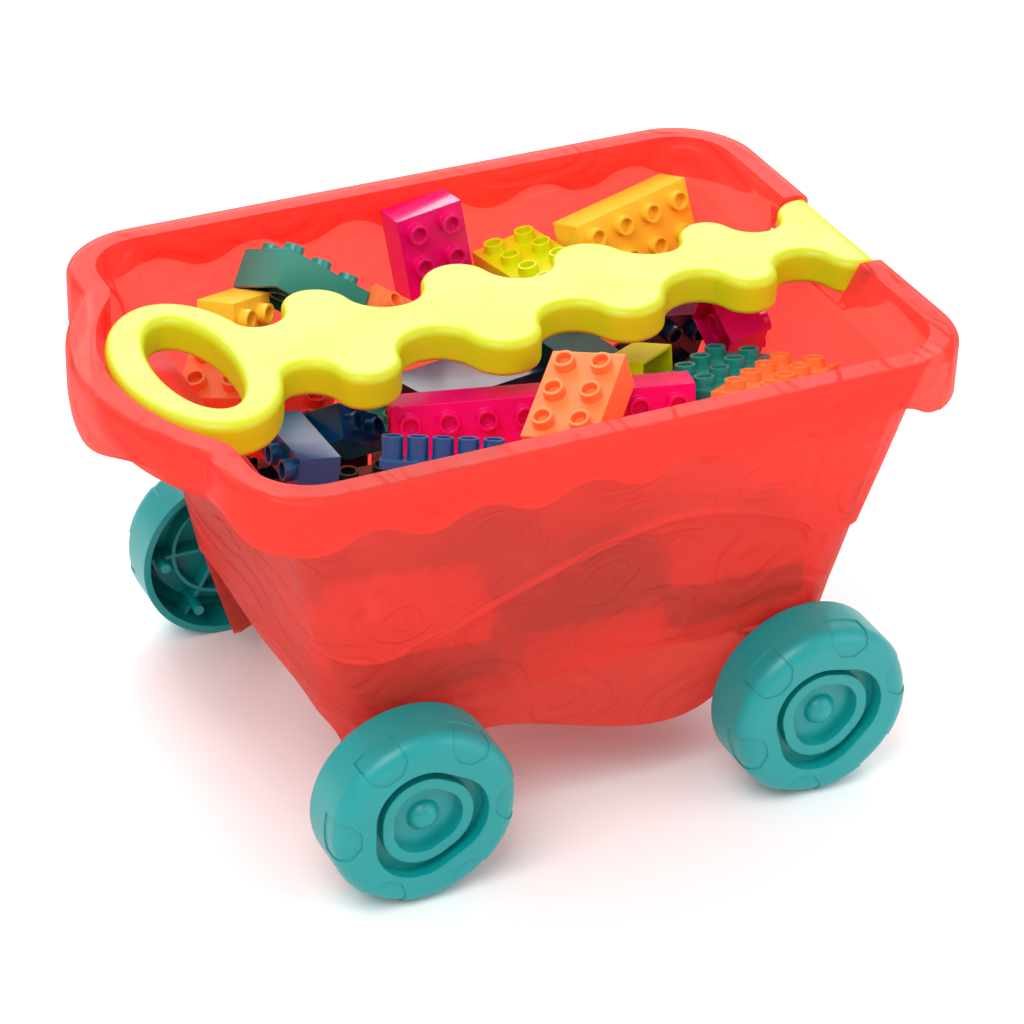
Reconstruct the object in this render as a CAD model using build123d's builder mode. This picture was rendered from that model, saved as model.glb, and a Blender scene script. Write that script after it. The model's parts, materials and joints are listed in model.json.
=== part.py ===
"""Toy pull-along wagon filled with stud building bricks.

Millimetres.  +X runs along the wagon towards the end where the handle is hinged, +Z is up, and the
origin is on the ground under the middle of the whole toy.
"""
import math
import os

from build123d import *

os.makedirs("parts", exist_ok=True)

# ---- tub: rim ----
tub_height = 222.6
rim_length = 355.4
rim_width = 262.2
rim_corner = 41.4
rim_band = 13.6
rim_wall = 2.8
rim_edge_round = 4.5
skirt_mean = 22.9
skirt_wave = 3.7
wave_pitch = 50.4
wave_start = -148.5
wave_count = 6
bay_radius = 121.0
bay_reach = 27.3
bay_notch_round = 8.0
bay_depth = 26.5

# ---- tub: body ----
wall = 2.6
body_shift = 2.5
body_neck_height = 200.0
body_neck_length = 304.0
body_neck_width = 240.0
body_hip_height = 92.0
body_hip_length = 262.0
body_hip_width = 205.0
body_foot_height = 12.0
body_foot_length = 232.0
body_foot_width = 184.0
body_corner = 30.0
floor_height = 80.0
floor_wall = 3.0
panel_end_raise = 2.4
panel_side_raise = 5.0

# ---- wheels and axles ----
wheel_radius = 45.0
wheel_width = 29.8
wheel_shoulder = 8.1
wheel_wall = 3.6
petal_count = 6
petal_depth = 0.6
petal_reach = 14.0
hub_pocket_depth = 8.0
track_width = 268.2
rear_axle_x = -97.5
front_axle_x = 105.1
rear_turn = 0.0
front_turn = 16.0
axle_radius = 2.5
bearing_clearance = 0.06
boss_radius = 7.5
washer_radius = 8.0
washer_thickness = 1.6
washer_gap = 0.3

# ---- handle ----
handle_thickness = 17.4
handle_lower = 8.6
handle_drop = 0.6
handle_round = 4.0
handle_wall = 3.0
grip_length = 71.0
grip_width = 116.0
grip_hole_length = 35.0
grip_hole_width = 81.0
grip_back_gap = 3.0
hinge_half_width = 35.4
hinge_gap = 0.5
barrel_inset = 9.0
pin_radius = 3.0
pin_clearance = 0.06
cheek_thickness = 9.0

# ---- bricks ----
stud_pitch = 17.3
brick_height = 19.4
plate_height = 10.4
stud_radius = 4.9
stud_bore = 3.5
stud_height = 4.7
brick_wall = 1.5
brick_gap = 0.15

# ---- wheel inside ----
pocket_inradius = 25.8
pocket_corner = 22.6
pocket_ring_radius = 35.0
ring_outer = 21.3
ring_inner = 16.0
ring_height = 5.2
ring_flat = 1.4
dome_radius = 8.0
dome_rise = 6.0
hub_radius = 7.5
hub_rib_radius = 33.5
rib_boss_radius = 2.6
inner_ring_radius = 27.0
rib_wall = 1.9
rib_height = 9.0
axle_end_depth = 14.0
petal_corner = 3.0
petal_outline = [(32.5, -4), (38, -9.5), (50, -11), (50, 11), (38, 9.5), (32.5, 4)]

# ---- openings in the tub ----
bay_mouth_depth = 20.0
notch_depth = 18.0
boss_depth = 16.0

# ---- handle outline: share of the shaft from the grip's neck to the hinge, and half width there ----
grip_neck_gap = 6.0
grip_neck_round = 10.0
pocket_half_length = 20.0
handle_wave = [
    (0.0, 20),
    (0.097, 44),
    (0.225, 14),
    (0.350, 41),
    (0.468, 15),
    (0.576, 36),
    (0.708, 12.5),
    (0.804, 33),
    (0.901, 13),
]

# ---- places worked out from the sizes above ----
rim_x = bay_reach / 2
body_x = rim_x + body_shift
rim_half = rim_length / 2
rim_rear = rim_x - rim_half
rim_front = rim_x + rim_half
skirt_mid_z = tub_height - skirt_mean
skirt_low_z = skirt_mid_z - 2 * skirt_wave
bay_x = rim_rear - bay_reach + bay_radius
bay_floor_z = tub_height - bay_depth
handle_top_z = tub_height - handle_drop
handle_low_z = handle_top_z - handle_thickness
split_z = handle_low_z + handle_lower
barrel_radius = handle_thickness / 2
hinge_x = rim_front - barrel_inset
hinge_z = handle_top_z - barrel_radius
notch_floor_z = handle_low_z - 1.2
grip_x = rim_rear - bay_reach + rim_band + grip_back_gap + grip_length / 2
axle_z = wheel_radius
axle_places = {"rear": rim_x + rear_axle_x, "front": rim_x + front_axle_x}
wheel_turns = {"rear": rear_turn, "front": front_turn}
wheel_outer_y = track_width / 2
wheel_inner_y = wheel_outer_y - wheel_width
notch_width = 2 * (hinge_half_width + hinge_gap)
cheek_half = barrel_inset - rim_wall - 0.5
cheek_z = (notch_floor_z + tub_height - rim_wall / 2) / 2
boss_outer_y = wheel_inner_y - washer_thickness - 2 * washer_gap
boss_inner_y = boss_outer_y - boss_depth
far = 400.0

coral = (0.95, 0.25, 0.20)
teal = (0.16, 0.60, 0.60)
lime = (0.85, 0.90, 0.10)
steel = (0.70, 0.70, 0.72)
magenta = (0.85, 0.02, 0.40)
orange = (0.98, 0.50, 0.25)
amber = (0.98, 0.65, 0.12)
blue = (0.02, 0.28, 0.48)
navy = (0.03, 0.12, 0.25)
olive = (0.80, 0.80, 0.05)
pine = (0.12, 0.33, 0.27)
sea = (0.12, 0.48, 0.44)
red = (0.90, 0.20, 0.12)


def write(part, name, colour):
    part.label = name
    part.color = Color(*colour)
    export_step(part, f"parts/{name}.step")


# ---------------------------------------------------------------- tub
body_stations = [
    (body_foot_height, body_foot_length, body_foot_width),
    (body_hip_height, body_hip_length, body_hip_width),
    (body_neck_height, body_neck_length, body_neck_width),
    (tub_height, rim_length - 2 * (rim_band - wall), rim_width - 2 * (rim_band - wall)),
]


def body_size(z):
    """Length and width of the body's outside at one height."""
    for lower, upper in zip(body_stations, body_stations[1:]):
        if z <= upper[0]:
            break
    share = (z - lower[0]) / (upper[0] - lower[0])
    length = lower[1] + share * (upper[1] - lower[1])
    width = lower[2] + share * (upper[2] - lower[2])
    return length, width


def body_loft(low, high, end_offset, side_offset, mode=Mode.ADD):
    """The tapering body between two heights, grown by the offsets (negative sets it in)."""
    between = [station[0] for station in body_stations if low < station[0] < high]
    sections = []
    for z in [low] + between + [high]:
        length, width = body_size(z)
        middle = rim_x + body_shift * (tub_height - z) / (tub_height - body_neck_height)
        with BuildSketch(Plane.XY.offset(z)) as section:
            with Locations((min(middle, body_x), 0)):
                RectangleRounded(
                    length + 2 * end_offset,
                    width + 2 * side_offset,
                    body_corner + min(end_offset, side_offset),
                )
        sections.append(section.sketch)
    loft(sections, ruled=True, mode=mode)


def rim_plan(inset):
    """Plan of the rim, set in from its outer edge: a rounded rectangle with the round grip bay."""
    with Locations((rim_x, 0)):
        RectangleRounded(rim_length - 2 * inset, rim_width - 2 * inset, rim_corner - inset)
    with Locations((bay_x, 0)):
        Circle(bay_radius - inset)


def rim_block(inset, low, high, mode=Mode.ADD):
    with BuildSketch(Plane.XY.offset(low)) as plan:
        rim_plan(inset)
        edge_x = rim_rear + inset
        corners = plan.vertices().filter_by(lambda v: abs(v.X - edge_x) < 0.01 and abs(v.Y) < bay_radius * 0.72)
        fillet(corners, bay_notch_round + inset)
    extrude(plan.sketch, amount=high - low, mode=mode)


def side_wave(plane):
    """What lies below the skirt's wavy edge along the sides."""
    points = []
    for half in range(2 * wave_count + 1):
        height = skirt_mid_z - skirt_wave * (1 if half % 2 == 0 else -1)
        points.append((rim_x + wave_start + half * wave_pitch / 2, height))
    rear, front = points[0], points[-1]
    with BuildSketch(plane) as below:
        with BuildLine():
            for left, right in zip(points, points[1:]):
                middle = ((left[0] + right[0]) / 2, (left[1] + right[1]) / 2)
                TangentArc(left, middle, tangent=(1, 0))
                TangentArc(right, middle, tangent=(-1, 0))
            Polyline(
                rear,
                (rear[0], skirt_low_z - 4),
                (rear[0] - far / 4, skirt_low_z - 4),
                (rear[0] - far / 4, 0),
                (front[0] + far / 4, 0),
                (front[0] + far / 4, skirt_low_z - 4),
                (front[0], skirt_low_z - 4),
                front,
            )
        make_face()
    return below.sketch


# How far the skirt hangs below the rim's top across an end, from the middle out to the corner.
end_wave = [(0, 29.4), (56, 16.4), (79, 19.4), (94, 18.2), (121, 27.4)]


def end_wave_face(plane):
    """What lies below the skirt's wavy edge across the ends."""
    right = [(y, tub_height - hang) for y, hang in end_wave]
    left = [(-y, z) for y, z in reversed(right[1:])]
    with BuildSketch(plane) as below:
        with BuildLine():
            curve = Spline(left + right, tangents=[(1, 0), (1, 0)])
            low_left = (-far / 2, (curve @ 0).Y)
            low_right = (far / 2, (curve @ 1).Y)
            Line(curve @ 0, low_left)
            Line(curve @ 1, low_right)
            Polyline(low_left, (-far / 2, 0), (far / 2, 0), low_right)
        make_face()
    return below.sketch


with BuildPart() as rim:
    rim_block(0, skirt_low_z - 2, tub_height)
    fillet(rim.faces().sort_by(Axis.Z)[-1].outer_wire().edges(), rim_edge_round)
    rim_block(rim_wall, skirt_low_z - 3, tub_height - rim_wall, Mode.SUBTRACT)
    extrude(side_wave(Plane.XZ.offset(-far / 2)), amount=far, mode=Mode.SUBTRACT)
    extrude(end_wave_face(Plane.YZ.offset(-far)), amount=2 * far, mode=Mode.SUBTRACT)

# The bay behind the end wall where the grip lies: its own wall and floor, up to the end wall.
bay_low_x = rim_rear - bay_reach
bay_high_x = body_x - body_size(bay_floor_z)[0] / 2 + wall / 2
bay_half_y = bay_radius * 0.76


def keep_bay(high_x, half_y):
    with Locations(((bay_low_x + high_x) / 2, 0, tub_height)):
        Box(high_x - bay_low_x, 2 * half_y, tub_height, mode=Mode.INTERSECT)


with BuildPart() as bay:
    rim_block(rim_band - rim_wall, bay_floor_z - floor_wall, tub_height - rim_wall / 2)
    keep_bay(bay_high_x, bay_half_y)

with BuildPart() as bay_space:
    rim_block(rim_band, bay_floor_z, tub_height + 1)
    keep_bay(rim_rear + rim_band + bay_mouth_depth, bay_half_y - rim_wall)


# Side view of what lies below the sides: a wavy belly between two legs.
belly_low = 44.0
belly_high = 57.0
leg_foot = 12.0
leg_half = 17.0
belly_x = rim_x + 3.8
with BuildPart() as under_sides:
    with BuildSketch(Plane.XZ.offset(-far / 2)):
        with BuildLine():
            rear_x = axle_places["rear"] + leg_half
            front_x = axle_places["front"] - leg_half
            rear_crest = (rear_x + 12, belly_high)
            front_crest = (front_x - 12, belly_high)
            curve = Spline(
                (rear_x, leg_foot + 10),
                rear_crest,
                (belly_x, belly_low),
                front_crest,
                (front_x, leg_foot + 10),
                tangents=[(0, 1), (0, -1)],
            )
            Polyline(curve @ 0, (rear_x, 0), (front_x, 0), curve @ 1)
        make_face()
    extrude(amount=far)

# End view of what lies below the ends: an arch with a slight wave between the legs.
arch_crest = 74.5
arch_middle = 70.5
arch_half = 84.0
arch_crest_y = 48.0
arch_corner = 10.0
arch_edge = 71.0
with BuildPart() as under_ends:
    with BuildSketch(Plane.YZ.offset(-far)) as arch:
        with BuildLine():
            curve = Spline(
                (-arch_half, arch_edge),
                (-arch_crest_y, arch_crest),
                (0, arch_middle),
                (arch_crest_y, arch_crest),
                (arch_half, arch_edge),
            )
            Polyline(curve @ 0, (-arch_half, 0), (arch_half, 0), curve @ 1)
        make_face()
        fillet(arch.vertices().group_by(Axis.Y)[-1], arch_corner)
    extrude(amount=2 * far)

# The raised side panels: outline in side view, with a stepped wavy lower edge.
panel_rear = rim_x - 152.0
panel_front = rim_x + 152.0
panel_wave = [(-134, 122), (-104, 122), (-60, 138), (-8, 157), (24, 164), (60, 159), (98, 141), (126, 134)]
with BuildPart() as panels:
    body_loft(floor_height, tub_height - rim_wall / 2, panel_end_raise, panel_side_raise)
    with BuildSketch(Plane.XZ.offset(-far / 2)):
        with BuildLine():
            curve = Spline([(rim_x + x, z) for x, z in panel_wave], tangents=[(1, -0.5), (1, 0)])
            rear_top = (panel_rear, tub_height)
            front_top = (panel_front, tub_height)
            Polyline(curve @ 0, (panel_rear, body_neck_height), rear_top, front_top, curve @ 1)
        make_face()
    extrude(amount=far, mode=Mode.INTERSECT)

with BuildPart() as tub:
    body_loft(body_foot_height, tub_height - rim_wall / 2, 0, 0)
    add(panels.part)
    body_loft(floor_height, tub_height, -wall, -wall, Mode.SUBTRACT)
    body_loft(body_foot_height, floor_height - floor_wall, -wall, -wall, Mode.SUBTRACT)
    add(under_sides.part, mode=Mode.SUBTRACT)
    add(under_ends.part, mode=Mode.SUBTRACT)
    add(rim.part)
    add(bay.part)
    body_loft(body_hip_height, tub_height, -wall, -wall, Mode.SUBTRACT)
    add(bay_space.part, mode=Mode.SUBTRACT)
    # Notch in the rim for the handle's barrel, with a shelf under it and a cheek on each side.
    notch_low_x = rim_front - rim_band - notch_depth
    shelf_low_x = body_x + body_size(notch_floor_z)[0] / 2 - wall / 2
    shelf_high_x = rim_front - rim_wall / 2
    with Locations(((shelf_low_x + shelf_high_x) / 2, 0, notch_floor_z - wall / 2)):
        Box(shelf_high_x - shelf_low_x, notch_width + 2 * wall, wall)
    for side in (-1, 1):
        with Locations((hinge_x, side * (notch_width + cheek_thickness) / 2, cheek_z)):
            Box(2 * cheek_half, cheek_thickness, 2 * (tub_height - rim_wall / 2 - cheek_z))
    with Locations(((notch_low_x + rim_front + 5) / 2, 0, notch_floor_z + bay_depth / 2)):
        Box(rim_front + 5 - notch_low_x, notch_width, bay_depth, mode=Mode.SUBTRACT)
    with Locations((hinge_x, 0, hinge_z)):
        bore_length = notch_width + 2 * (cheek_thickness - wall)
        Cylinder(pin_radius + pin_clearance, bore_length, rotation=(90, 0, 0), mode=Mode.SUBTRACT)
    # Bearing bosses on the legs.
    for axle_x in axle_places.values():
        for side in (-1, 1):
            with Locations((axle_x, side * (boss_outer_y + boss_inner_y) / 2, axle_z)):
                Cylinder(boss_radius, boss_outer_y - boss_inner_y, rotation=(90, 0, 0))
        with Locations((axle_x, 0, axle_z)):
            Cylinder(axle_radius + bearing_clearance, track_width, rotation=(90, 0, 0), mode=Mode.SUBTRACT)
write(tub.part, "tub", coral)


# ---------------------------------------------------------------- wheels and axles
def wheel_section(inset, depth):
    """Half section of the wheel's outside: distance from the axle, then depth behind the face."""
    radius = wheel_radius - inset
    flat = wheel_radius - wheel_shoulder
    bend = wheel_shoulder - inset
    middle = (flat + bend * math.sqrt(0.5), wheel_shoulder - bend * math.sqrt(0.5))
    with BuildSketch(Plane.XY) as half:
        with BuildLine():
            Polyline((flat, inset), (0, inset), (0, depth), (radius, depth), (radius, wheel_shoulder))
            ThreePointArc((radius, wheel_shoulder), middle, (flat, inset))
        make_face()
    return half.sketch


def rounded_triangle(inradius, corner, turn):
    with BuildSketch(Plane.XY) as triangle:
        RegularPolygon(2 * inradius, 3, rotation=turn)
        fillet(triangle.vertices(), corner)
    return triangle.sketch


def build_wheel(name, axle_x, side, turn):
    """A wheel moulded as a cup: its face outwards, its hub, ring and ribs inside."""
    origin = (axle_x, side * wheel_outer_y, axle_z)
    face = Plane(origin, x_dir=(1, 0, 0), z_dir=(0, side, 0))
    section = Plane(origin, x_dir=(1, 0, 0), z_dir=(0, 0, -side))
    spin = Axis(origin, (0, 1, 0))
    local_turn = -side * turn
    back = face.offset(-wheel_width)
    pocket_back = hub_pocket_depth + wheel_wall

    with BuildPart() as petals:
        with BuildSketch(face) as outlines:
            with PolarLocations(0, petal_count, start_angle=local_turn):
                Polygon(*petal_outline, align=None)
            fillet(outlines.vertices(), petal_corner)
        extrude(amount=-petal_reach)
        with BuildSketch(section) as core:
            add(wheel_section(petal_depth, wheel_width))
        revolve(core.sketch, axis=spin, mode=Mode.SUBTRACT)

    with BuildPart() as wheel:
        with BuildSketch(section) as outside:
            add(wheel_section(0, wheel_width))
        revolve(outside.sketch, axis=spin)
        with BuildSketch(section) as hollow:
            Polygon(
                (0, wheel_width + 1),
                (0, pocket_back),
                (pocket_ring_radius, pocket_back),
                (pocket_ring_radius, wheel_wall),
                (wheel_radius - wheel_shoulder, wheel_wall),
                (wheel_radius - wheel_wall, wheel_shoulder + 1),
                (wheel_radius - wheel_wall, wheel_width + 1),
                align=None,
            )
        revolve(hollow.sketch, axis=spin, mode=Mode.SUBTRACT)
        with BuildSketch(face) as pocket:
            add(rounded_triangle(pocket_inradius, pocket_corner, local_turn))
        extrude(pocket.sketch, amount=-hub_pocket_depth, mode=Mode.SUBTRACT)
        with BuildSketch(face.offset(-hub_pocket_depth - wheel_wall / 2)) as ring:
            add(rounded_triangle(ring_outer, ring_outer - ring_flat, local_turn))
            add(rounded_triangle(ring_inner, ring_inner - ring_flat, local_turn), mode=Mode.SUBTRACT)
        extrude(ring.sketch, amount=ring_height + wheel_wall / 2)
        with Locations(face.offset(-hub_pocket_depth + dome_rise - dome_radius)):
            Sphere(dome_radius)
        # The dome's far side is trimmed off inside the hub tube before the tube goes in.
        with BuildSketch(back) as hub:
            Circle(hub_radius)
            with PolarLocations(hub_rib_radius, petal_count, start_angle=local_turn):
                Circle(rib_boss_radius)
        extrude(hub.sketch, amount=wheel_width - pocket_back + 0.2)
        with BuildSketch(face.offset(-pocket_back - rib_height)) as ribs:
            Circle(inner_ring_radius)
            Circle(inner_ring_radius - rib_wall, mode=Mode.SUBTRACT)
            with PolarLocations(0, petal_count, start_angle=local_turn):
                with Locations(((wheel_radius - wheel_wall) / 2, 0)):
                    Rectangle(wheel_radius - wheel_wall, rib_wall)
        extrude(ribs.sketch, amount=rib_height + 0.2)
        with BuildSketch(back) as bore:
            Circle(axle_radius)
        extrude(bore.sketch, amount=wheel_width - axle_end_depth, mode=Mode.SUBTRACT)
        add(petals.part, mode=Mode.SUBTRACT)
    write(wheel.part, name, teal)


def build_axle(name, axle_x):
    with BuildPart() as axle:
        with Locations((axle_x, 0, axle_z)):
            Cylinder(axle_radius, 2 * (wheel_outer_y - axle_end_depth), rotation=(90, 0, 0))
        chamfer(axle.edges().filter_by(GeomType.CIRCLE), axle_radius / 5)
    write(axle.part, name, steel)


def build_washer(name, axle_x, side):
    with BuildPart() as washer:
        with BuildSketch(Plane.XZ.offset(-side * (boss_outer_y + washer_gap))) as disc:
            with Locations((axle_x, axle_z)):
                Circle(washer_radius)
                Circle(axle_radius, mode=Mode.SUBTRACT)
        extrude(disc.sketch, amount=-side * washer_thickness)
    write(washer.part, name, steel)


for end, axle_x in axle_places.items():
    build_axle(f"{end}_axle", axle_x)
    for side, side_name in ((-1, "right"), (1, "left")):
        build_wheel(f"{end}_{side_name}_wheel", axle_x, side, wheel_turns[end])
        build_washer(f"{end}_{side_name}_washer", axle_x, side)


# ---------------------------------------------------------------- handle
def handle_plan(low):
    """Plan of the handle: a wavy shaft from the oval grip to the hinge."""
    neck_x = grip_x + grip_length / 2 + grip_neck_gap
    shaft = hinge_x - neck_x
    points = [(neck_x + share * shaft, half_width) for share, half_width in handle_wave]
    points.append((hinge_x, hinge_half_width))
    end_x = hinge_x + barrel_radius
    with BuildSketch(Plane.XY.offset(low)) as plan:
        with BuildLine() as outline:
            Polyline((grip_x, 0), (grip_x, points[0][1]), points[0])
            for left, right in zip(points, points[1:]):
                middle = ((left[0] + right[0]) / 2, (left[1] + right[1]) / 2)
                TangentArc(left, middle, tangent=(1, 0))
                TangentArc(right, middle, tangent=(-1, 0))
            Polyline(points[-1], (end_x, hinge_half_width), (end_x, 0))
            mirror(outline.edges(), about=Plane.XZ)
        make_face()
        with Locations((grip_x, 0)):
            Ellipse(grip_length / 2, grip_width / 2)
        neck = plan.vertices().filter_by(lambda v: grip_x < v.X < neck_x - 0.5)
        fillet(neck, grip_neck_round)
        with Locations((grip_x, 0)):
            Ellipse(grip_hole_length / 2, grip_hole_width / 2, mode=Mode.SUBTRACT)
    return plan.sketch


def handle_side():
    """Side view of the handle: flat, with the barrel's round end at the hinge."""
    with BuildSketch(Plane.XZ.offset(-far / 2)) as side:
        with Locations((hinge_x - far / 2, hinge_z)):
            Rectangle(far, handle_thickness)
        with Locations((hinge_x, hinge_z)):
            Circle(barrel_radius)
    return side.sketch


def handle_pocket(low, high):
    """Hollows inside the handle, one in each swelling of the shaft."""
    neck_x = grip_x + grip_length / 2 + grip_neck_gap
    shaft = hinge_x - neck_x
    with BuildSketch(Plane.XY.offset(low)) as pockets:
        for share, half_width in handle_wave[1::2]:
            with Locations((neck_x + share * shaft, 0)):
                Ellipse(pocket_half_length, half_width - handle_wall * 1.6)
    extrude(pockets.sketch, amount=high - low, mode=Mode.SUBTRACT)


for name, low, high in (
    ("handle_top", split_z, handle_top_z),
    ("handle_bottom", handle_low_z, split_z),
):
    is_top = high == handle_top_z
    with BuildPart() as half_shell:
        extrude(handle_plan(low), amount=high - low)
        skin = half_shell.faces().sort_by(Axis.Z)[-1 if is_top else 0]
        skin_edges = skin.edges().filter_by(lambda e: e.center().X < hinge_x + barrel_radius - 0.5)
        fillet(skin_edges, handle_round if is_top else handle_round - 1)
        extrude(handle_side(), amount=far, mode=Mode.INTERSECT)
        if is_top:
            handle_pocket(low - 1, high - handle_wall)
        else:
            handle_pocket(low + handle_wall, high + 1)
        with Locations((hinge_x, 0, hinge_z)):
            Cylinder(pin_radius, 2 * hinge_half_width + 2, rotation=(90, 0, 0), mode=Mode.SUBTRACT)
    write(half_shell.part, name, lime)

with BuildPart() as hinge_pin:
    with Locations((hinge_x, 0, hinge_z)):
        Cylinder(pin_radius, notch_width + 2 * (cheek_thickness - wall) - 1, rotation=(90, 0, 0))
    chamfer(hinge_pin.edges().filter_by(GeomType.CIRCLE), pin_radius / 6)
write(hinge_pin.part, "hinge_pin", steel)


# ---------------------------------------------------------------- bricks
def build_brick(columns, rows, frame, smooth=False):
    """A hollow brick with open studs above and tubes below, on the middle of its underside."""
    long = columns * stud_pitch - 2 * brick_gap
    wide = rows * stud_pitch - 2 * brick_gap
    with BuildPart() as brick:
        with BuildSketch(frame) as base:
            Rectangle(long, wide)
        extrude(base.sketch, amount=brick_height)
        with BuildSketch(frame) as inside:
            Rectangle(long - 2 * brick_wall, wide - 2 * brick_wall)
        extrude(inside.sketch, amount=brick_height - brick_wall, mode=Mode.SUBTRACT)
        if not smooth:
            with BuildSketch(frame.offset(brick_height)) as studs:
                with GridLocations(stud_pitch, stud_pitch, columns, rows):
                    Circle(stud_radius)
            extrude(studs.sketch, amount=stud_height)
            with BuildSketch(frame.offset(brick_height + brick_wall / 2)) as bores:
                with GridLocations(stud_pitch, stud_pitch, columns, rows):
                    Circle(stud_bore)
            extrude(bores.sketch, amount=stud_height, mode=Mode.SUBTRACT)
        if rows > 1 and columns > 1:
            tube = stud_pitch * math.sqrt(0.5) - stud_radius - brick_gap
            with BuildSketch(frame.offset(brick_wall)) as tubes:
                with GridLocations(stud_pitch, stud_pitch, columns - 1, rows - 1):
                    Circle(tube)
                    Circle(tube - brick_wall, mode=Mode.SUBTRACT)
            extrude(tubes.sketch, amount=brick_height - 1.5 * brick_wall)
    return brick.part


# name, colour, studs along, studs across, place of the underside's middle, turns about x, y and z
loose_bricks = [
    ("amber_long_brick", amber, 4, 2, (106, 98, 187), (73, 11, 9)),
    ("amber_short_brick", amber, 2, 1, (-109, 87, 193), (80, 40, -10)),
    ("magenta_tilted_brick", magenta, 3, 2, (8, 113, 190), (82, 1, -82)),
    ("magenta_long_brick", magenta, 8, 2, (1, -33, 175), (76, -18, -2)),
    ("magenta_end_brick", magenta, 2, 2, (117, 16, 171), (20, 80, 10)),
    ("lime_stud_brick", olive, 4, 2, (57, 77, 171), (-7, -10, -87)),
    ("yellow_open_brick", olive, 2, 2, (68, -23, 170), (-104, -39, 3)),
    ("orange_leaning_brick", orange, 3, 2, (2, -74, 194), (7, -20, 47)),
    ("orange_stud_brick", orange, 4, 2, (107, -65, 168), (-16, 4, 38)),
    ("orange_ring_brick", orange, 2, 2, (-112, 64, 160), (12, -18, 56)),
    ("orange_short_brick", orange, 2, 1, (-27, 88, 166), (40, 30, -20)),
    ("red_brick", red, 2, 2, (-87, 53, 135), (6, 6, -32)),
    ("teal_stud_brick", sea, 4, 2, (91, -34, 159), (-16, 2, 38)),
    ("teal_corner_brick", sea, 3, 2, (-68, 89, 185), (-35, 33, 20)),
    ("pine_smooth_brick", pine, 2, 2, (41, 20, 159), (12, 18, 36)),
    ("navy_open_brick", navy, 2, 2, (107, 58, 153), (96, 13, -17)),
    ("navy_smooth_brick", navy, 4, 2, (-16, 10, 160), (-3, 6, 19)),
    ("blue_front_brick", blue, 3, 1, (-100, -15, 172), (-19, -82, 76)),
    ("blue_side_brick", blue, 2, 1, (-85, 13, 160), (52, 41, 168)),
]
for name, colour, columns, rows, place, turns in loose_bricks:
    where = (place[0] + rim_x, place[1], place[2])
    smooth = "smooth" in name
    write(build_brick(columns, rows, Plane(Location(where, turns)), smooth), name, colour)

# A thin plate with a row of tall posts.
post_count = 5
post_pitch = 11.0
post_radius = 4.75
post_height = 10.0
post_base = 4.0
post_frame = Plane(Location((rim_x - 70, -82, 193), (-19, 9, -28)))
with BuildPart() as blue_post_plate:
    with BuildSketch(post_frame) as plate:
        RectangleRounded(post_count * post_pitch, 2 * post_radius + 4, 3)
    extrude(amount=post_base)
    with BuildSketch(post_frame.offset(post_base)) as posts:
        with GridLocations(post_pitch, post_pitch, post_count, 1):
            Circle(post_radius)
    extrude(amount=post_height)
    with BuildSketch(post_frame.offset(post_base)) as bores:
        with GridLocations(post_pitch, post_pitch, post_count, 1):
            Circle(stud_bore)
    extrude(amount=post_height, mode=Mode.SUBTRACT)
write(blue_post_plate.part, "blue_post_plate", blue)

# The buried bricks lie in two flat layers on the floor, with a clear gap between their studs
# and the layer above: studs along, studs across, x, y and turn of each brick in a layer.
layer_gap = 0.4
layer_step = brick_height + stud_height + layer_gap
buried_layers = [
    [
        (4, 2, -78, -70, 6),
        (4, 2, 2, -74, -4),
        (4, 2, 80, -68, 5),
        (6, 4, -60, -4, 3),
        (6, 4, 58, 4, -2),
        (4, 2, -76, 68, -6),
        (4, 2, 4, 72, 2),
        (4, 2, 82, 70, -5),
    ],
    [
        (4, 2, -84, -72, -7),
        (4, 2, -4, -76, 3),
        (4, 2, 76, -74, -3),
        (6, 4, -62, 2, -3),
        (6, 4, 60, -4, 2),
        (4, 2, -82, 72, 5),
        (4, 2, -2, 76, -3),
        (4, 2, 78, 72, 4),
    ],
]
buried_colours = [navy, magenta, blue, red, pine, orange, navy, sea]
buried_count = 0
for layer, bricks in enumerate(buried_layers):
    for columns, rows, x, y, turn in bricks:
        colour = buried_colours[(buried_count + layer) % len(buried_colours)]
        where = (body_x + x, y, floor_height + layer_gap + layer * layer_step)
        buried_count += 1
        write(
            build_brick(columns, rows, Plane(Location(where, (0, 0, turn)))),
            f"buried_brick_{buried_count}",
            colour,
        )
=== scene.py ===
"""Looks for the toy pull-along wagon: materials, light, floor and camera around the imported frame."""

import json
import math

import bpy
from mathutils import Matrix, Vector

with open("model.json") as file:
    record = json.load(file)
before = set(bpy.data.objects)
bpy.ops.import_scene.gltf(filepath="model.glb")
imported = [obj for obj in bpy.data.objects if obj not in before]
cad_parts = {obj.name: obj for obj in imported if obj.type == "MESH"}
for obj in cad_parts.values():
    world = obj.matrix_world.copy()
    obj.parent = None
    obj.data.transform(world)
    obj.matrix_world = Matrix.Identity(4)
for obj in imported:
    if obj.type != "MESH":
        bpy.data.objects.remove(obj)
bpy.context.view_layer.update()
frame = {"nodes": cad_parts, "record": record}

# Softened edges, as wide as the rounding on the real mouldings (metres).
WHEEL_EDGE = 0.0008
BRICK_EDGE = 0.0006

# The tub's wall: how much of the light is let through, and the height of its pebble relief.
SCATTERED_SHARE = 0.5
CLEAR_SHARE = 0.55
RING_HEIGHT = 0.0011

# Camera, in the frame's metres and degrees.
TARGET = Vector((0.01365, 0.0, 0.1))
EYE = Vector((-0.59985, -1.2330, 0.9736))
ROLL = math.radians(1.73)
LENS = 121.1
SENSOR = 36.0
SHIFT = (0.0103, 0.0104)

# Light: the world is white, and softboxes at these places aim at the middle of the wagon.
AIM = Vector((0.0, 0.0, 0.11))
WORLD_STRENGTH = 0.75
FLOOR_SIZE = 12.0


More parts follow.
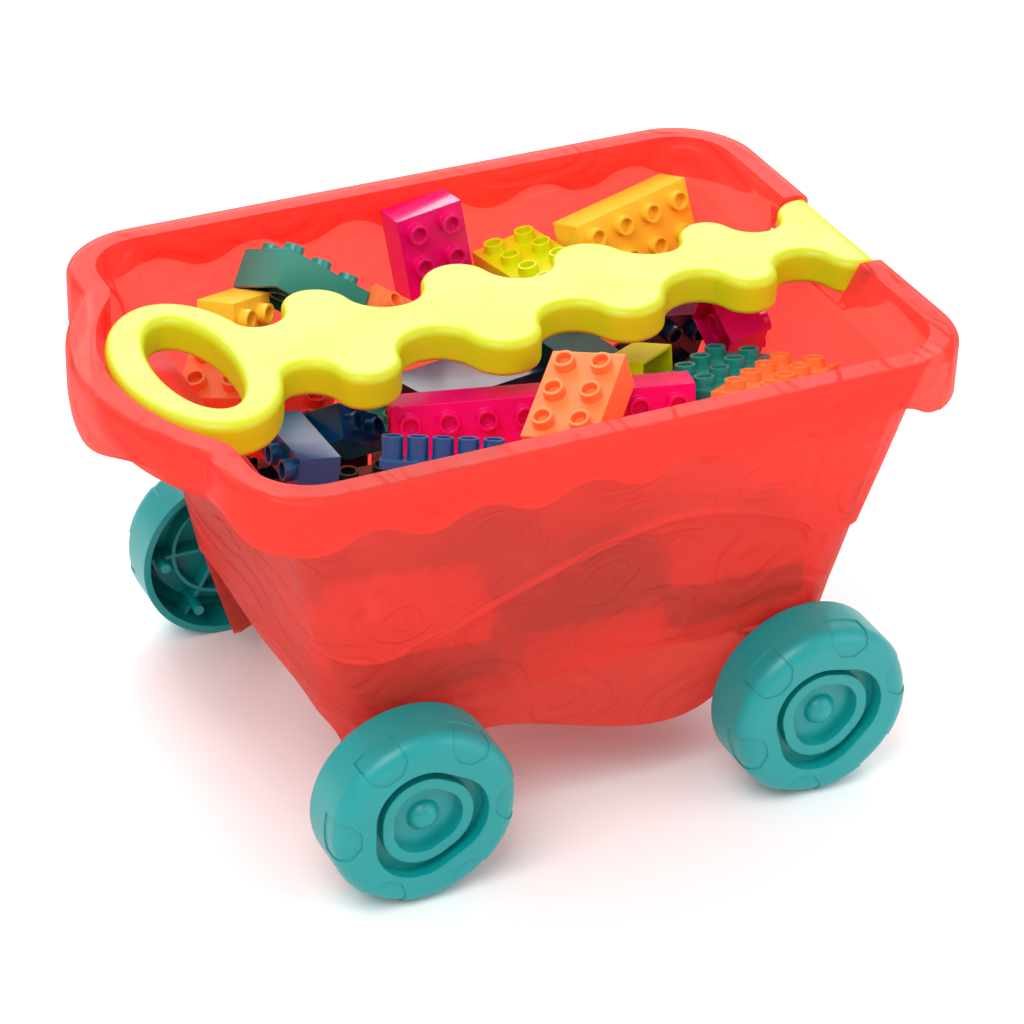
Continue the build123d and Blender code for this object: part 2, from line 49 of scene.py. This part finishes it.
def linear(r, g, b):
    """sRGB values from 0 to 255 as linear colour."""
    out = []
    for value in (r, g, b):
        c = value / 255
        out.append(c / 12.92 if c <= 0.04045 else ((c + 0.055) / 1.055) ** 2.4)
    return (*out, 1.0)


class Tree:
    """A material's node tree, with short ways to add and join nodes."""

    def __init__(self, name):
        self.material = bpy.data.materials.new(name)
        self.material.use_nodes = True
        self.nodes = self.material.node_tree.nodes
        self.links = self.material.node_tree.links
        self.nodes.clear()
        self.out = self.nodes.new("ShaderNodeOutputMaterial")
        self.coords = self.nodes.new("ShaderNodeTexCoord")

    def add(self, kind, **values):
        node = self.nodes.new(kind)
        for key, value in values.items():
            setattr(node, key, value)
        return node

    def join(self, a, b):
        self.links.new(a, b)

    def noise(self, scale, detail=3.0, rough=0.5, vector=None):
        node = self.add("ShaderNodeTexNoise")
        node.inputs["Scale"].default_value = scale
        node.inputs["Detail"].default_value = detail
        node.inputs["Roughness"].default_value = rough
        self.join(vector or self.coords.outputs["Object"], node.inputs["Vector"])
        return node

    def remap(self, source, low, high, from_low=0.0, from_high=1.0):
        node = self.add("ShaderNodeMapRange")
        node.inputs["From Min"].default_value = from_low
        node.inputs["From Max"].default_value = from_high
        node.inputs["To Min"].default_value = low
        node.inputs["To Max"].default_value = high
        self.join(source, node.inputs["Value"])
        return node.outputs["Result"]

    def math(self, operation, a, b=None):
        node = self.add("ShaderNodeMath", operation=operation)
        for i, value in enumerate((a, b)):
            if value is None:
                continue
            if isinstance(value, (int, float)):
                node.inputs[i].default_value = value
            else:
                self.join(value, node.inputs[i])
        return node.outputs[0]

    def bump(self, height, strength, distance, normal=None):
        node = self.add("ShaderNodeBump")
        node.inputs["Strength"].default_value = strength
        node.inputs["Distance"].default_value = distance
        self.join(height, node.inputs["Height"])
        if normal is not None:
            self.join(normal, node.inputs["Normal"])
        return node.outputs["Normal"]

    def principled(self, colour, rough_source=None, rough=0.4, normal=None, **values):
        node = self.add("ShaderNodeBsdfPrincipled")
        node.inputs["Base Color"].default_value = colour
        node.inputs["Roughness"].default_value = rough
        if rough_source is not None:
            self.join(rough_source, node.inputs["Roughness"])
        if normal is not None:
            self.join(normal, node.inputs["Normal"])
        for key, value in values.items():
            node.inputs[key.replace("_", " ")].default_value = value
        return node


def plastic(
    name,
    colour,
    low=0.26,
    high=0.38,
    grain=0.00006,
    grain_scale=900.0,
    scatter=0.0,
    tint=0.05,
    soften=0.0,
):
    """Moulded plastic: satin, with faint grain, slow waviness, soft edges and slightly uneven colour."""
    tree = Tree(name)
    edge = None
    if soften:
        round_off = tree.add("ShaderNodeBevel", samples=4)
        round_off.inputs["Radius"].default_value = soften
        edge = round_off.outputs["Normal"]
    smear = tree.noise(22.0, 4.0, 0.6)
    fine = tree.noise(grain_scale, 2.0)
    wavy = tree.noise(40.0, 1.0)
    rough = tree.remap(smear.outputs["Fac"], low, high, 0.3, 0.7)
    normal = tree.bump(fine.outputs["Fac"], 0.25, grain, edge)
    normal = tree.bump(wavy.outputs["Fac"], 0.2, 0.0004, normal)
    shader = tree.principled(colour, rough, normal=normal)
    shade = tree.add("ShaderNodeHueSaturation")
    shade.inputs["Color"].default_value = colour
    value = tree.remap(smear.outputs["Fac"], 1.0 - tint, 1.0 + tint, 0.3, 0.7)
    tree.join(value, shade.inputs["Value"])
    tree.join(shade.outputs["Color"], shader.inputs["Base Color"])
    if scatter:
        shader.inputs["Subsurface Weight"].default_value = scatter
        shader.inputs["Subsurface Radius"].default_value = (1.0, 0.8, 0.6)
        shader.inputs["Subsurface Scale"].default_value = 0.003
    tree.join(shader.outputs["BSDF"], tree.out.inputs["Surface"])
    return tree.material


def tub_plastic(name):
    """See-through coral: part of the light goes on through the wall blurred, part is scattered."""
    tree = Tree(name)
    smear = tree.noise(16.0, 4.0, 0.6)
    rough = tree.remap(smear.outputs["Fac"], 0.24, 0.36, 0.3, 0.7)
    # Low rings like nested pebbles, moulded into the long walls.
    warp = tree.noise(18.0, 2.0)
    mixed = tree.add("ShaderNodeVectorMath", operation="MULTIPLY_ADD")
    tree.join(warp.outputs["Color"], mixed.inputs[0])
    mixed.inputs[1].default_value = (0.03, 0.0, 0.03)
    tree.join(tree.coords.outputs["Object"], mixed.inputs[2])
    flat = tree.add("ShaderNodeMapping")
    flat.inputs["Scale"].default_value = (20.0, 4.0, 27.0)
    tree.join(mixed.outputs["Vector"], flat.inputs["Vector"])
    cells = tree.add("ShaderNodeTexVoronoi", feature="SMOOTH_F1")
    cells.inputs["Scale"].default_value = 1.0
    cells.inputs["Smoothness"].default_value = 0.35
    cells.inputs["Randomness"].default_value = 0.85
    tree.join(flat.outputs["Vector"], cells.inputs["Vector"])
    rings = tree.math("PINGPONG", tree.math("MULTIPLY", cells.outputs["Distance"], 4.6), 0.5)
    soft = tree.add("ShaderNodeMapRange", interpolation_type="SMOOTHSTEP")
    soft.inputs["From Min"].default_value = 0.12
    soft.inputs["From Max"].default_value = 0.38
    tree.join(rings, soft.inputs["Value"])
    fine = tree.noise(700.0, 2.0)
    normal = tree.bump(fine.outputs["Fac"], 0.2, 0.00006)
    normal = tree.bump(soft.outputs["Result"], 0.6, RING_HEIGHT, normal)

    face = tree.principled(linear(255, 106, 88), rough, normal=normal)
    glow = tree.add("ShaderNodeBsdfTranslucent")
    glow.inputs["Color"].default_value = linear(255, 112, 114)
    tree.join(normal, glow.inputs["Normal"])
    body = tree.add("ShaderNodeMixShader")
    body.inputs[0].default_value = SCATTERED_SHARE
    tree.join(face.outputs["BSDF"], body.inputs[1])
    tree.join(glow.outputs["BSDF"], body.inputs[2])
    clear = tree.add("ShaderNodeBsdfRefraction")
    clear.inputs["Color"].default_value = linear(255, 160, 150)
    clear.inputs["IOR"].default_value = 1.03
    clear.inputs["Roughness"].default_value = 0.5
    mix = tree.add("ShaderNodeMixShader")
    mix.inputs[0].default_value = CLEAR_SHARE
    tree.join(body.outputs["Shader"], mix.inputs[1])
    tree.join(clear.outputs["BSDF"], mix.inputs[2])
    tree.join(mix.outputs["Shader"], tree.out.inputs["Surface"])
    return tree.material


def metal(name):
    tree = Tree(name)
    streak = tree.noise(120.0, 3.0)
    rough = tree.remap(streak.outputs["Fac"], 0.18, 0.34)
    normal = tree.bump(streak.outputs["Fac"], 0.2, 0.0001)
    shader = tree.principled(linear(190, 190, 194), rough, normal=normal, Metallic=1.0)
    tree.join(shader.outputs["BSDF"], tree.out.inputs["Surface"])
    return tree.material


looks = {
    "coral": tub_plastic("tub_coral"),
    "teal": plastic("wheel_teal", linear(0, 146, 146), 0.3, 0.42, 0.0001, 700.0, soften=WHEEL_EDGE),
    "lime": plastic("handle_lime", linear(198, 208, 14), 0.34, 0.46, 0.0001, 800.0, 0.2),
    "steel": metal("axle_steel"),
    "magenta": plastic("brick_magenta", linear(232, 0, 108), 0.18, 0.3, scatter=0.15, soften=BRICK_EDGE),
    "orange": plastic("brick_orange", linear(255, 128, 66), 0.2, 0.32, scatter=0.2, soften=BRICK_EDGE),
    "amber": plastic("brick_amber", linear(255, 198, 52), 0.2, 0.32, scatter=0.2, soften=BRICK_EDGE),
    "blue": plastic("brick_blue", linear(0, 84, 138), 0.16, 0.28, soften=BRICK_EDGE),
    "navy": plastic("brick_navy", linear(6, 40, 70), 0.16, 0.28, soften=BRICK_EDGE),
    "olive": plastic("brick_lime", linear(212, 220, 0), 0.2, 0.32, scatter=0.25, soften=BRICK_EDGE),
    "pine": plastic("brick_pine", linear(22, 82, 72), 0.18, 0.3, soften=BRICK_EDGE),
    "sea": plastic("brick_sea", linear(20, 132, 120), 0.18, 0.3, soften=BRICK_EDGE),
    "red": plastic("brick_red", linear(232, 52, 40), 0.2, 0.32, scatter=0.15, soften=BRICK_EDGE),
}

slots = {part["node"]: part["material_slot"] for part in frame["record"]["subparts"]}
for node, thing in frame["nodes"].items():
    look = looks[slots[node]]
    if not thing.data.materials:
        thing.data.materials.append(look)
    for i in range(len(thing.data.materials)):
        thing.data.materials[i] = look

# ---- floor, light and camera ----
floor_tree = Tree("floor_paper")
paper = floor_tree.noise(60.0, 3.0)
paper_rough = floor_tree.remap(paper.outputs["Fac"], 0.7, 0.85)
paper_face = floor_tree.principled(
    linear(250, 250, 250),
    paper_rough,
    normal=floor_tree.bump(paper.outputs["Fac"], 0.1, 0.0002),
)
floor_tree.join(paper_face.outputs["BSDF"], floor_tree.out.inputs["Surface"])

bpy.ops.mesh.primitive_plane_add(size=FLOOR_SIZE, location=(0, 0, 0))
floor = bpy.context.object
floor.name = "floor"
floor.data.materials.append(floor_tree.material)

world = bpy.data.worlds.new("studio")
world.use_nodes = True
world.node_tree.nodes["Background"].inputs["Color"].default_value = (1.0, 1.0, 1.0, 1.0)
world.node_tree.nodes["Background"].inputs["Strength"].default_value = WORLD_STRENGTH
bpy.context.scene.world = world


def softbox(name, place, width, height, watts):
    data = bpy.data.lights.new(name, "AREA")
    data.shape = "RECTANGLE"
    data.size = width
    data.size_y = height
    data.energy = watts
    lamp = bpy.data.objects.new(name, data)
    lamp.location = place
    lamp.rotation_euler = (AIM - Vector(place)).to_track_quat("-Z", "Y").to_euler()
    bpy.context.scene.collection.objects.link(lamp)


softbox("key", (-0.9, -0.7, 1.9), 1.4, 1.4, 26.0)
softbox("fill", (1.6, -1.5, 1.1), 1.6, 1.6, 12.0)
softbox("back", (0.4, 1.7, 1.2), 2.0, 1.2, 34.0)

back = (EYE - TARGET).normalized()
across = Vector((0, 0, 1)).cross(back).normalized()
above = back.cross(across)
right = across * math.cos(ROLL) + above * math.sin(ROLL)
up = above * math.cos(ROLL) - across * math.sin(ROLL)
camera_data = bpy.data.cameras.new("camera")
camera_data.lens = LENS
camera_data.sensor_width = SENSOR
camera_data.shift_x = SHIFT[0]
camera_data.shift_y = SHIFT[1]
camera_data.clip_start = 0.05
camera = bpy.data.objects.new("camera", camera_data)
turned = Matrix((right, up, back)).transposed().to_4x4()
camera.matrix_world = Matrix.Translation(EYE) @ turned
bpy.context.scene.collection.objects.link(camera)
bpy.context.scene.camera = camera
bpy.context.scene.view_settings.view_transform = "Standard"
